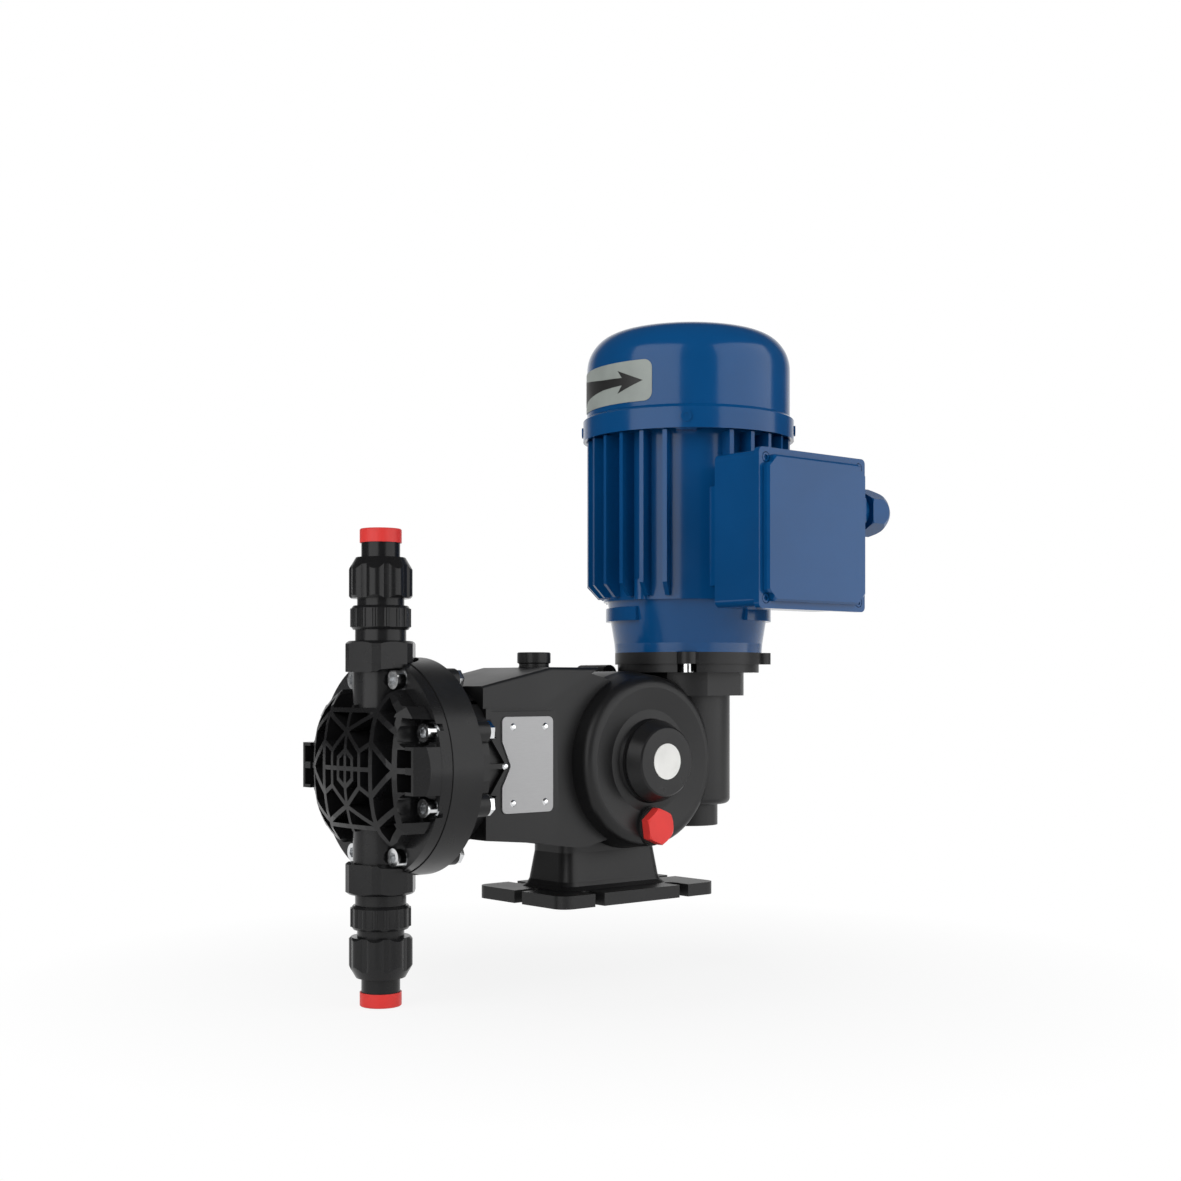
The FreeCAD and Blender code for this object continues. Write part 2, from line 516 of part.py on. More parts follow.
plate_ear = bar(6.0, at(44.5, PLATE_Z), Z, ADAPTER_TOP - PLATE_Z)
adapter = fused(bar(45.0, at(0, PLATE_Z), Z, ADAPTER_TOP - PLATE_Z), bar(43.5, at(0, WORM_TOP), Z, PLATE_Z - WORM_TOP),
                *around(plate_ear, (45, 225, 315)))
adapter_holes = [bar(14, at(0, WORM_TOP - 1), Z, 20), bar(SPIGOT_R + RUN, at(0, SPIGOT_Z), Z, 5)]
adapter_holes += around(bar(8.0, at(BOLT_CIRCLE_R, WORM_TOP - 1), Z, PLATE_Z - WORM_TOP + 1), DIAGONALS)
adapter_holes += around(bar(2.8, at(BOLT_CIRCLE_R, PLATE_Z - 1), Z, 10), DIAGONALS)
adapter_holes += around(bar(2.8, at(ADAPTER_SCREW_R, WORM_TOP - 1), Z, 12), (0, 90, 180, 270))
adapter_holes += around(bar(4.6, at(ADAPTER_SCREW_R, PLATE_Z - 0.5), Z, 6), (0, 90, 180, 270))
for hole in adapter_holes:
    adapter = adapter.cut(hole)
save("motor_adapter", adapter)
adapter_screws = around(screw(2.5, 4.25, 4.5, 15.5, at(ADAPTER_SCREW_R, PLATE_Z - 0.5), -Z), (0, 90, 180, 270))
motor_screws = around(screw(2.5, 4.25, 5.0, 18.0, at(BOLT_CIRCLE_R, PLATE_Z), Z), DIAGONALS)
save("casing_screws", *foot_bolts, *adapter_screws, *motor_screws, *rear_cover_screws)
coupling = bar(12, at(0, 121.8), Z, 20.2)
coupling = coupling.cut(bar(7.5 + RUN, at(0, 121), Z, 7.2)).cut(bar(5.5 + RUN, at(0, 128), Z, 20))
save("shaft_coupling", coupling)

# Motor end bell, finned frame, stator and rotor
BELL_TOP = 176.5
FRAME_TOP = 274.5
FRAME_R = 52.0
FRAME_BORE = 47.0
FIN_R = 62.3
FIN_T = 2.6
FIN_PITCH = 40.0 / 3
FINS = 19
end_bell = turned([(7, SPIGOT_Z), (SPIGOT_R, SPIGOT_Z), (SPIGOT_R, ADAPTER_TOP), (45, ADAPTER_TOP), (45.4, 151),
                   (48.6, 171), (49.5, BELL_TOP), (46.8, BELL_TOP), (46.8, 172), (40, 163), (20, 158), (20, 161.5),
                   (16 + RUN, 161.5), (16 + RUN, 151), (7, 151)], MOTOR_C, Z)
LUG_SIDE = 80 * math.sin(math.radians(25))
LUG_OUT = 80 * math.cos(math.radians(25))
wedge = prism([at(0, 164.5), (WORM_X + LUG_OUT, WORM_Y - LUG_SIDE, 164.5), (WORM_X + LUG_OUT, WORM_Y + LUG_SIDE, 164.5)], Z * 8)
bell_lug = ring(50.6, 46.5, at(0, 164.5), Z, 8).common(wedge)
end_bell = fused(end_bell, *around(bell_lug, (115, 163, 295, 343)))
for hole in around(bar(2.5 + RUN, at(BOLT_CIRCLE_R, ADAPTER_TOP - 1), Z, 12.5), DIAGONALS):
    end_bell = end_bell.cut(hole)
save("motor_end_bell", end_bell)
fin_profile = [(50, 178.5), (55.5, 178.5), (FIN_R, 186), (FIN_R, FRAME_TOP), (50, FRAME_TOP)]
fin = prism([(WORM_X + r, WORM_Y - FIN_T / 2, z) for r, z in fin_profile], Y * FIN_T)
fins = around(fin, [213.3333 - FIN_PITCH * index for index in range(FINS)] + [318.3, 304.3])
fins += around(fin.common(box(0, 140, -20, -10, 243.5, 280)), (250, 263.3, 276.7, 290))
PAD_Y = -82.0
box_pad = box(WORM_X - 26, WORM_X + 26, PAD_Y, -50, 184, 242)
foot_lug = bar(4.5, at(51.0, BELL_TOP), Z, 12)
frame = fused(bar(FRAME_R, at(0, BELL_TOP), Z, FRAME_TOP - BELL_TOP), box_pad, *fins, *around(foot_lug, (73.3, 113.3, 353.3, 193.3)))
frame = frame.cut(bar(FRAME_BORE, at(0, BELL_TOP - 1), Z, FRAME_TOP - BELL_TOP + 2))
frame = frame.cut(box(WORM_X - 12, WORM_X + 12, PAD_Y - 1, -55, 200, 226))
BOX_SCREWS = [(WORM_X + dx, z) for dx in (-20, 20) for z in (190, 236)]
for screw_x, screw_z in BOX_SCREWS:
    frame = frame.cut(bar(2.0 + RUN, (screw_x, PAD_Y - 1, screw_z), Y, 7))
save("motor_frame", frame)
stator = ring(FRAME_BORE - RUN, 28, at(0, 190), Z, 60)
for index in range(24):
    stator = stator.cut(turned_copy(box(WORM_X + 27, WORM_X + 33, WORM_Y - 1.2, WORM_Y + 1.2, 189, 251), MOTOR_C, Z, 15 * index))
winding = turned([(31, 250), (44, 250), (44, 259), (41, 263), (34, 263), (31, 259)], MOTOR_C, Z)
lower_winding = turned([(31, 190), (44, 190), (44, 182), (42, 178), (34, 178), (31, 182)], MOTOR_C, Z)
save("stator", stator, winding, lower_winding)
motor_shaft = turned([(0, 129), (5.5, 129), (5.5, 150.5), (6, 150.5), (6, 161.5), (8, 161.5), (8, 264.5), (6, 264.5),
                      (6, 290), (5, 290), (5, 306), (0, 306)], MOTOR_C, Z)
save("motor_shaft", motor_shaft)
rotor = ring(27.6, 8 + RUN, at(0, 190), Z, 60)
end_ring = ring(27, 17, at(0, 250), Z, 5)
rotor = fused(rotor, end_ring, moved(end_ring, 0, 0, -65))
save("rotor_core", rotor)
motor_bearing = ring(16, 6 + RUN, at(0, 151), Z, 10)
bearings += [motor_bearing, moved(motor_bearing, 0, 0, 114)]
save("bearings", *bearings)
rear_shield = turned([(7, 280), (FRAME_R, 280), (FRAME_R, FRAME_TOP), (46.9, FRAME_TOP), (46.9, 272), (20, 272), (20, 264),
                      (16 + RUN, 264), (16 + RUN, 275), (7, 275)], MOTOR_C, Z)
shield_lug = box(WORM_X + 48, WORM_X + 62.5, WORM_Y - 6, WORM_Y + 6, FRAME_TOP, 287)
shield_lug = shield_lug.common(bar(62.4, at(0, 270), Z, 20))
rear_shield = fused(rear_shield, *around(shield_lug, DIAGONALS))
for hole in around(bar(2.0 + RUN, at(54, 281.5), X, 12), DIAGONALS):
    rear_shield = rear_shield.cut(hole)
save("motor_rear_shield", rear_shield)

# Cooling fan and its cover
fan = ring(10, 5 + RUN, at(0, 290.5), Z, 15)
fan = fused(fan, ring(46, 8, at(0, 290.5), Z, 2.5),
            *around(box(WORM_X + 9, WORM_X + 54, WORM_Y - 1, WORM_Y + 1, 292, 313), [45 * index for index in range(8)]))
save("cooling_fan", fan)


def spline(points, first, last):
    curve = Part.BSplineCurve()
    curve.interpolate(Points=[V(WORM_X + r, WORM_Y, z) for r, z in points], InitialTangent=first, FinalTangent=last)
    return curve.toShape()


COVER_R = 62.2
COVER_SKIRT_R = 64.6
COVER_WALL = 2.0
DOME_Z = 316.9
DOME_TOP = 343.6
outer_dome = [(COVER_R, DOME_Z), (60.6, 326.4), (54.5, 335.0), (44.0, 340.2), (26.0, 342.8), (0, DOME_TOP)]
inner_dome = [(COVER_R - COVER_WALL, DOME_Z), (58.4, 325.4), (53.0, 333.2), (43.2, 338.2), (25.8, 340.8),
              (0, DOME_TOP - COVER_WALL)]
skirt = [(COVER_SKIRT_R - COVER_WALL, 275.0), (COVER_SKIRT_R, 275.0), (COVER_SKIRT_R, 287.2), (COVER_R, 289.2), (COVER_R, DOME_Z)]
inside = [(COVER_R - COVER_WALL, DOME_Z), (COVER_R - COVER_WALL, 288.0), (COVER_SKIRT_R - COVER_WALL, 287.2),
          (COVER_SKIRT_R - COVER_WALL, 275.0)]
edges = [Part.makeLine(V(*at(*a)), V(*at(*b))) for a, b in zip(skirt, skirt[1:])]
edges.append(spline(outer_dome, Z, -X))
edges.append(Part.makeLine(V(*at(0, DOME_TOP)), V(*at(0, DOME_TOP - COVER_WALL))))
edges.append(spline(inner_dome, Z, -X))
edges += [Part.makeLine(V(*at(*a)), V(*at(*b))) for a, b in zip(inside, inside[1:])]
cover_face = Part.Face(Part.Wire(Part.__sortEdges__(edges)))
fan_cover = cover_face.revolve(V(*MOTOR_C), Z, 360)
spokes = [box(WORM_X - 50, WORM_X + 50, WORM_Y - 2, WORM_Y + 2, 330, 360)]
spokes = spokes[0].fuse([turned_copy(spokes[0], MOTOR_C, Z, 45 * index) for index in (1, 2, 3)])
for radius in (13, 21, 29, 37):
    fan_cover = fan_cover.cut(ring(radius + 2.2, radius - 2.2, at(0, 335), Z, 20).cut(spokes))
for hole in around(bar(2.3, at(60, 281.5), X, 8), DIAGONALS):
    fan_cover = fan_cover.cut(hole)
save("fan_cover", fan_cover)
paint_screws = around(screw(2.0, 3.2, 0.9, 9.0, at(COVER_SKIRT_R, 281.5), -X), DIAGONALS)

# Terminal box, board, lid and cable gland
BOX = (17.0, 104.2, -112.8, PAD_Y, 169.8, 257.0)
WALL = 3.0
BACK_Y = PAD_Y - WALL
INNER = (BOX[0] + WALL, BOX[1] - WALL, BOX[4] + WALL, BOX[5] - WALL)
GLAND_Y = -96.0
GLAND_Z = 230.2
terminal_box = rounded_box(*BOX, 4.0, Y)
terminal_box = terminal_box.cut(box(INNER[0], INNER[1], BOX[2] - 1, BACK_Y, INNER[2], INNER[3]))
posts = [box(x, x + 8, BOX[2], BACK_Y, z, z + 8) for x in (INNER[0], INNER[1] - 8) for z in (INNER[2], INNER[3] - 8)]
gland_boss = bar(13.0, (BOX[1] - WALL, GLAND_Y, GLAND_Z), X, WALL + 7.8)
terminal_box = fused(terminal_box, *posts, gland_boss)
LID_SCREWS = [(x, z) for x in (BOX[0] + 4.4, BOX[1] - 4.4) for z in (BOX[4] + 4.4, BOX[5] - 4.4)]
box_holes = [bar(8.0, (BOX[1] - 5, GLAND_Y, GLAND_Z), X, 15),
             box(WORM_X - 12, WORM_X + 12, BACK_Y - 1, PAD_Y + 1, 200, 226)]
box_holes += [bar(2.3, (x, BACK_Y - 1, z), Y, 6) for x, z in BOX_SCREWS]
box_holes += [bar(1.5 + RUN, (x, BOX[2] - 1, z), Y, 12) for x, z in LID_SCREWS]
for hole in box_holes:
    terminal_box = terminal_box.cut(hole)
save("terminal_box", terminal_box)
paint_screws += [screw(2.0, 3.5, 3.0, 9.0, (x, BACK_Y, z), Y) for x, z in BOX_SCREWS]
board = box(WORM_X - 24, WORM_X + 24, BACK_Y - 9, BACK_Y - 4, 197, 229)
board_posts = [bar(3, (WORM_X + dx, BACK_Y - 4, z), Y, 4) for dx in (-19, 19) for z in (201, 225)]
studs = [bar(2, (WORM_X + dx, BACK_Y - 18, z), Y, 10) for dx in (-14, 0, 14) for z in (206, 220)]
save("terminal_board", fused(board, *board_posts, *studs))
LID_Y = (-113.8, -117.8, -121.8)
lid = rounded_box(15.8, 105.4, LID_Y[1], LID_Y[0], 168.6, 258.2, 3.0, Y)
px0, px1, pz0, pz1, cut = 19.3, 102.3, 172.6, 254.2, 6.2
panel = prism([(px0 + cut, LID_Y[2], pz0), (px1 - cut, LID_Y[2], pz0), (px1, LID_Y[2], pz0 + cut), (px1, LID_Y[2], pz1 - cut),
               (px1 - cut, LID_Y[2], pz1), (px0 + cut, LID_Y[2], pz1), (px0, LID_Y[2], pz1 - cut), (px0, LID_Y[2], pz0 + cut)],
              Y * (LID_Y[1] - LID_Y[2]))
panel = panel.makeChamfer(1.2, [e for e in panel.Edges if e.BoundBox.YMax < LID_Y[2] + 0.1])
lid = fused(lid, panel)
for x, z in LID_SCREWS:
    lid = lid.cut(bar(1.8, (x, LID_Y[2] - 1, z), Y, 12)).cut(bar(3.0, (x, LID_Y[2] - 1, z), Y, LID_Y[1] - LID_Y[2] + 2.8))
save("terminal_lid", lid)
gasket = rounded_box(BOX[0], BOX[1], LID_Y[0], BOX[2], BOX[4], BOX[5], 4.0, Y)
gasket = gasket.cut(rounded_box(BOX[0] + 11, BOX[1] - 11, LID_Y[0] - 1, BOX[2] + 1, BOX[4] + 11, BOX[5] - 11, 4.0, Y))
for x, z in LID_SCREWS:
    gasket = gasket.cut(bar(1.8, (x, LID_Y[0] - 1, z), Y, 4))
save("gaskets", gasket, cover_gasket, drain_washer)
paint_screws += [screw(1.5, 2.6, 1.8, 11.0, (x, LID_Y[1] + 1.8, z), Y) for x, z in LID_SCREWS]
save("motor_cover_screws", *paint_screws)
gland_c = (0, GLAND_Y, GLAND_Z)
WALL_OUT = BOX[1] + 7.8
NUT_X = WALL_OUT + 12.4
THREAD_END = NUT_X + 8.6
gland_body = fused(hexagon(24.0, (WALL_OUT, GLAND_Y, GLAND_Z), X, 6.5, 30), bar(7.9, (WALL_OUT - 17, GLAND_Y, GLAND_Z), X, 17),
                   bar(9.6, (WALL_OUT + 6.5, GLAND_Y, GLAND_Z), X, THREAD_END - WALL_OUT - 6.5))
gland_body = gland_body.cut(bar(5.5, (WALL_OUT - 18, GLAND_Y, GLAND_Z), X, 50))
locknut_x = INNER[1] - 4
locknut = hexagon(20.0, (locknut_x, GLAND_Y, GLAND_Z), X, 4, 30).cut(bar(7.9 + RUN, (locknut_x - 1, GLAND_Y, GLAND_Z), X, 6))
save("gland_body", gland_body, locknut)
dome = turned([(0, NUT_X), (13.6, NUT_X), (14.4, NUT_X + 1), (14.4, NUT_X + 10), (12.4, NUT_X + 15), (9.6, NUT_X + 19.0),
               (6.6, NUT_X + 21), (0, NUT_X + 21)], gland_c, X)
gland_nut = hexagon(25.0, (NUT_X, GLAND_Y, GLAND_Z), X, 21, 30).common(dome)
gland_nut = gland_nut.cut(bar(9.6 + RUN, (NUT_X - 1, GLAND_Y, GLAND_Z), X, 15.5)).cut(bar(5.0, (NUT_X, GLAND_Y, GLAND_Z), X, 30))
save("gland_nut", gland_nut)
seals.append(ring(9.5, 5.0, (THREAD_END, GLAND_Y, GLAND_Z), X, NUT_X + 14.5 - THREAD_END))
save("seals", *seals)


# Backing ring, diaphragm and its moulded-in insert
RING_R = 59.5
RING_X = -149.9
SPIGOT = 46.2
BOSS_R = 19.0
PORT_R = 15.0
HEAD_POCKET_R = 6.4
BODY_H = 51.3


def above(shape):
    return [shape, shape.mirror(V(0, 0, ROD_Z), Z)]


head_ring = bar(RING_R, (RING_X, 0, ROD_Z), X, FLANGE_X - RING_X)
head_ring = head_ring.cut(bar(SPIGOT + 0.3, (RING_X - 1, 0, ROD_Z), X, DIAPHRAGM_X + RIM_T - RING_X + 1))
head_ring = head_ring.cut(bar(36.0, (RING_X, 0, ROD_Z), X, 30))
for pocket in above(bar(BOSS_R + 1.5, (VALVE_X, 0, ROD_Z + BODY_H - 0.4), Z, 12)):
    head_ring = head_ring.cut(pocket)
boss_room = bar(BOSS_R + 1, (VALVE_X, 0, ROD_Z + 40), Z, 12).common(box(-180, DIAPHRAGM_X, -25, 25, 100, 150))
for pocket in above(boss_room):
    head_ring = head_ring.cut(pocket)
for hole in copies(bar(HEAD_BOLT_HOLE, (-155, HEAD_BOLT_R, ROD_Z), X, 30), ROD_C, X, bolt_angles):
    head_ring = head_ring.cut(hole)
save("head_ring", head_ring)
diaphragm = turned([(0, -146.0), (19, -146.0), (22, -145.0), (26, -142.8), (31, -141.9), (36, -141.0), (46.0, -141.0),
                    (46.0, -137.0), (38, -137.0), (34, -138.6), (29, -139.4), (25, -140.2), (21, -141.5), (0, -141.5)], ROD_C, X)
save("diaphragm", diaphragm)
insert = turned([(0, -141.5), (18, -141.5), (18, -139.0), (10, -136.0), (0, -136.0)], ROD_C, X)
save("diaphragm_insert", insert)

# Pump head: flange, chamber plate, ports and a rib network under a pillow dome
DOME_DEPTH = 28.1
POWER = 2.5
DOME_HALF = (57.0, 48.0)
RIB_W = 3.0
FLOOR_X = -153.0


def pillow(half_y, half_z, depth, steps, corners):
    wires = []
    for x in steps:
        scale = (1 - x ** POWER) ** (1 / POWER)
        points = []
        for index in range(corners):
            t = 2 * math.pi * (index + 0.5) / corners
            c, s = math.cos(t), math.sin(t)
            y = math.copysign(abs(c) ** (2 / POWER), c) * half_y * scale
            z = math.copysign(abs(s) ** (2 / POWER), s) * half_z * scale
            points.append(V(RING_X - x * depth, y, ROD_Z + z))
        wires.append(Part.makePolygon(points + points[:1]))
    return Part.makeLoft(wires, True, True)


def beam(a, b, width, x0=-182.0, x1=-151.0):
    start = V(x0, a[0], ROD_Z + a[1])
    end = V(x0, b[0], ROD_Z + b[1])
    along = end - start
    along.normalize()
    side = along.cross(X) * (width / 2)
    start = start - along * (width / 3)
    end = end + along * (width / 3)
    corners = [start - side, start + side, end + side, end - side]
    return Part.Face(Part.makePolygon(corners + corners[:1])).extrude(X * (x1 - x0))


A = [(25, 40.8), (22.4, 29.6), (22.4, 14), (22.4, -14), (22.4, -29.6), (25, -40.8)]
B = [(37, 30.5), (38.8, 19.6), (38.8, 0), (38.8, -19.6), (37, -30.5)]
LOBE = [(A[0], A[1]), (A[0], B[0]), (A[1], B[1]), (B[0], B[1]), (A[1], A[2]), (A[2], B[2]), (B[1], B[2]), (A[2], A[3]),
        (A[3], B[2]), (B[2], B[3]), (A[3], A[4]), (A[4], B[3]), (B[3], B[4]), (A[4], A[5]), (A[5], B[4]),
        (B[2], (52, 0)), ((39, 12.5), (55, 12.5)), ((39, -12.5), (55, -12.5)), (B[1], (43, 19.6)), (B[3], (43, -19.6))]
WEB = [((6.7, 5.6), (6.7, -5.6)), ((6.7, 5.6), (0, 10)), ((6.7, -5.6), (0, -10)), ((13.0, 9.5), (13.0, -9.5)),
       ((13.0, 9.5), (0, 20)), ((13.0, -9.5), (0, -20)), ((0, 0), (22.4, 0)), ((13.0, 9.5), A[2]), ((13.0, -9.5), A[3]),
       ((0, 20), A[1]), ((0, -20), A[4]), ((0, 31), (22.4, 31)), ((0, -31), (22.4, -31))]
beams = [beam((0, -33), (0, 33), 2.4)]
for sign in (-1, 1):
    beams += [beam((sign * a[0], a[1]), (sign * b[0], b[1]), RIB_W) for a, b in LOBE]
    beams += [beam((sign * a[0], a[1]), (sign * b[0], b[1]), 2.4) for a, b in WEB]
dome = pillow(DOME_HALF[0], DOME_HALF[1], DOME_DEPTH, (0, 0.3, 0.55, 0.75, 0.88, 0.95, 0.985, 0.997), 36)
inner_bowl = pillow(50.0, 44.0, 13.5, (0, 0.4, 0.7, 0.9, 0.99), 24)
ribs = beams[0].fuse(beams[1:]).common(dome)
block_plan = [(-150, 46), (-150, 58.9), (-164, 58.9), (-171, 53.5), (-171, 46)]
side_block = prism([(x, y, ROD_Z - 12.5) for x, y in block_plan], Z * 25)
side_block = side_block.common(bar(RING_R - 0.6, (-175, 0, ROD_Z), X, 30))
for pocket in above(box(-172, -159, 40.5, 51.5, ROD_Z + 1.8, ROD_Z + 10.7)):
    side_block = side_block.cut(pocket)
side_blocks = [side_block, side_block.mirror(V(0, 0, 0), Y)]
flange_disc = bar(RING_R - 0.5, (-157.0, 0, ROD_Z), X, RING_X + 157.0)
spigot = bar(SPIGOT, (RING_X, 0, ROD_Z), X, DIAPHRAGM_X - RING_X)
boss_limit = box(-180, DIAPHRAGM_X - 0.5, -25, 25, 0, 200)
port_boss = bar(PORT_R, (VALVE_X, 0, ROD_Z + 30), Z, BODY_H - 30).common(boss_limit)
bolt_rooms = copies(bar(HEAD_POCKET_R, (-183, HEAD_BOLT_R, ROD_Z), X, 30), ROD_C, X, (67.5, 112.5))
for bolt_room in bolt_rooms:
    port_boss = port_boss.cut(bolt_room)
port_column = bar(9.5, (VALVE_X, 0, ROD_Z + 15), Z, 24)
petal_rib = [beam(B[0], (50.0, 29.5), 6.0).common(dome), beam(B[4], (50.0, -29.5), 6.0).common(dome)]
petal_rib += [rib.mirror(V(0, 0, 0), Y) for rib in petal_rib]
plate_body = fused(flange_disc, spigot, inner_bowl)
for pocket in copies(bar(8.2, (FLOOR_X - 30, HEAD_BOLT_R, ROD_Z), X, 30), ROD_C, X, bolt_angles):
    plate_body = plate_body.cut(pocket)
    ribs = ribs.cut(pocket)
pump_head = fused(plate_body, ribs, *side_blocks, *above(port_boss), *above(port_column), *petal_rib)
for pocket in above(bar(BOSS_R + 1.5, (VALVE_X, 0, ROD_Z + BODY_H), Z, 12)):
    pump_head = pump_head.cut(pocket)
chamber = turned([(0, -140), (36.5, -140), (36.5, -141), (34, -143.5), (28, -147.0), (0, -148.5)], ROD_C, X)
head_cuts = [chamber]
head_cuts += above(bar(12.0 + RUN, (VALVE_X, 0, ROD_Z + 40), Z, 20))
head_cuts += above(bar(5.5, (VALVE_X, 0, ROD_Z + 20), Z, 25))
head_cuts += above(bar(4.5, (VALVE_X, 0, ROD_Z + 24.5), X, 12))
head_cuts += copies(bar(HEAD_BOLT_HOLE, (-156, HEAD_BOLT_R, ROD_Z), X, 8), ROD_C, X, bolt_angles)
for hole in head_cuts:
    pump_head = pump_head.cut(hole)
save("pump_head", pump_head)
washer = ring(6.0, 3.2, (FLOOR_X - 1.6, HEAD_BOLT_R, ROD_Z), X, 1.6)
save("head_washers", *copies(washer, ROD_C, X, bolt_angles))
head_screw = screw(3.0, 5.0, 6.0, 37.6, (FLOOR_X - 1.6, HEAD_BOLT_R, ROD_Z), X)
save("head_screws", *copies(head_screw, ROD_C, X, bolt_angles))
head_nut = hexagon(10.0, (-121.0, HEAD_BOLT_R, ROD_Z), X, 3.4).cut(bar(3.0 + RUN, (-122, HEAD_BOLT_R, ROD_Z), X, 6))
save("head_nuts", *copies(head_nut, ROD_C, X, bolt_angles))

# Valve stacks: heights are measured from the rod axis, the suction side is the mirror image
STACK = (VALVE_X, 0, ROD_Z)
HEX_TURN = 49.5


def spun(profile):
    return turned(profile, STACK, Z)


def up(radius, h0, h1):
    return bar(radius, (VALVE_X, 0, ROD_Z + h0), Z, h1 - h0)


def ribbed(body, radius, rib_r, count, h0, h1):
    rib = bar(rib_r, (VALVE_X + radius - rib_r, 0, ROD_Z + h0), Z, h1 - h0)
    return fused(body, *copies(rib, STACK, Z, [360 / count * index for index in range(count)]))


hex_part = hexagon(36.1, (VALVE_X, 0, ROD_Z + BODY_H), Z, 16.7, HEX_TURN)
hex_part = hex_part.common(hexagon(38.8, (VALVE_X, 0, ROD_Z + BODY_H), Z, 16.7, HEX_TURN + 30))
hex_part = hex_part.common(spun([(0, BODY_H), (19.2, BODY_H), (20.4, BODY_H + 1.2), (20.4, 65.8), (17.2, 68), (0, 68)]))
valve_body = fused(hex_part, up(12.0, 40.3, BODY_H), up(13.75, 67.9, 74), up(13.0, 74, 83.7))
valve_body = valve_body.cut(up(8.3, 56, 90)).cut(up(5.5, 39, 57))
for bolt_room in bolt_rooms:
    valve_body = valve_body.cut(bolt_room)
save("valve_bodies", *above(valve_body))
SEAT_H = (56.0, 60.0)
LOW_SEAT_H = (-78.0, -74.0)
BALL_R = 6.5
SEAT_R = 4.8
ball_rise = math.sqrt(BALL_R ** 2 - SEAT_R ** 2) + RUN
save("valve_seats", up(8.2, *SEAT_H).cut(up(SEAT_R, 50, 65)), up(8.2, *LOW_SEAT_H).cut(up(SEAT_R, -80, -70)))
save("discharge_ball", Part.makeSphere(BALL_R, V(VALVE_X, 0, ROD_Z + SEAT_H[1] + ball_rise)))
save("suction_ball", Part.makeSphere(BALL_R, V(VALVE_X, 0, ROD_Z + LOW_SEAT_H[1] + ball_rise)))
ring_nut = spun([(13.05, 74.1), (14.8, 74.1), (15.8, 75.4), (15.8, 85.6), (14.8, 87), (12.8, 87), (12.8, 84.9), (13.05, 84.9)])
save("ring_nuts", *above(ribbed(ring_nut, 16.6, 1.6, 16, 75.6, 85.4)))
tailpiece = spun([(7.5, 83.7), (12.95, 83.7), (12.95, 84.9), (12.7, 84.9), (12.7, 104), (10.45, 104.6), (10.45, 126.2), (7.5, 126.2)])
save("tailpieces", *above(tailpiece))
lobes = ribbed(up(15.8, 91, 113), 17.3, 6.0, 8, 91, 113)
union_nut = lobes.common(spun([(0, 91), (16.0, 91), (17.5, 92.6), (17.5, 106.0), (13.4, 113), (0, 113)]))
union_nut = union_nut.cut(up(12.75, 90, 104.9)).cut(up(10.5, 100, 114))
for name, nut in zip(("discharge_union_nut", "suction_union_nut"), above(union_nut)):
    save(name, nut)
cap = spun([(10.52, 121), (11.3, 121), (11.3, 128), (10.8, 128.5), (0, 128.5), (0, 126.6), (10.52, 126.6)])
for name, piece in zip(("discharge_cap", "suction_cap"), above(cap)):
    save(name, piece)
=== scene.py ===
"""Dosing pump with its motor: finishes, arrow plate, studio and camera, in metres."""

import json
import math

import bmesh
import bpy
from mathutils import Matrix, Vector


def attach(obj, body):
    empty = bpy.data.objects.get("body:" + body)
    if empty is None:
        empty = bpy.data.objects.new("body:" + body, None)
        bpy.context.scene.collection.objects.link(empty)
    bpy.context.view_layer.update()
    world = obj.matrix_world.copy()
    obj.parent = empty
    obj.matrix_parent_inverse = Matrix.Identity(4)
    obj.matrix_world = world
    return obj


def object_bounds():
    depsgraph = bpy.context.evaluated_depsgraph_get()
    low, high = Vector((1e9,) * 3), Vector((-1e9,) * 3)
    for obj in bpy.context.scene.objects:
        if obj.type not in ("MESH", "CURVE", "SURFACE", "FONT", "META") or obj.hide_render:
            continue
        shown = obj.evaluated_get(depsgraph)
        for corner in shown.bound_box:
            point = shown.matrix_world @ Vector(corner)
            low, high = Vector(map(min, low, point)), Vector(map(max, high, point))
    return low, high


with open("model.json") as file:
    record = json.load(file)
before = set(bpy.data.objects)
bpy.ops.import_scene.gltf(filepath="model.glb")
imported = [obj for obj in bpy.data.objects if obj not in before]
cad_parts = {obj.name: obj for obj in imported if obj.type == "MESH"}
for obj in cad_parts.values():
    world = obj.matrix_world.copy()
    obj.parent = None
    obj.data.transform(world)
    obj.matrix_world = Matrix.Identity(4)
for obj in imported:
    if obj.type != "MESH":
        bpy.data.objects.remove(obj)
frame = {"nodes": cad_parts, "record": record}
cad_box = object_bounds()
nodes = frame["nodes"]


# Shader kit
class Value:
    """A shader socket that takes part in Python arithmetic."""

    def __init__(self, paint, socket):
        self.paint = paint
        self.socket = socket

    def math(self, operation, *others):
        inputs = dict(enumerate((self,) + others))
        return self.paint.add("ShaderNodeMath", {"operation": operation}, inputs)

    def __add__(self, other):
        return self.math("ADD", other)

    __radd__ = __add__

    def __mul__(self, other):
        return self.math("MULTIPLY", other)

    __rmul__ = __mul__

    def __sub__(self, other):
        return self.math("SUBTRACT", other)

    def __rsub__(self, other):
        return self.paint.add("ShaderNodeMath", {"operation": "SUBTRACT"}, {0: other, 1: self})


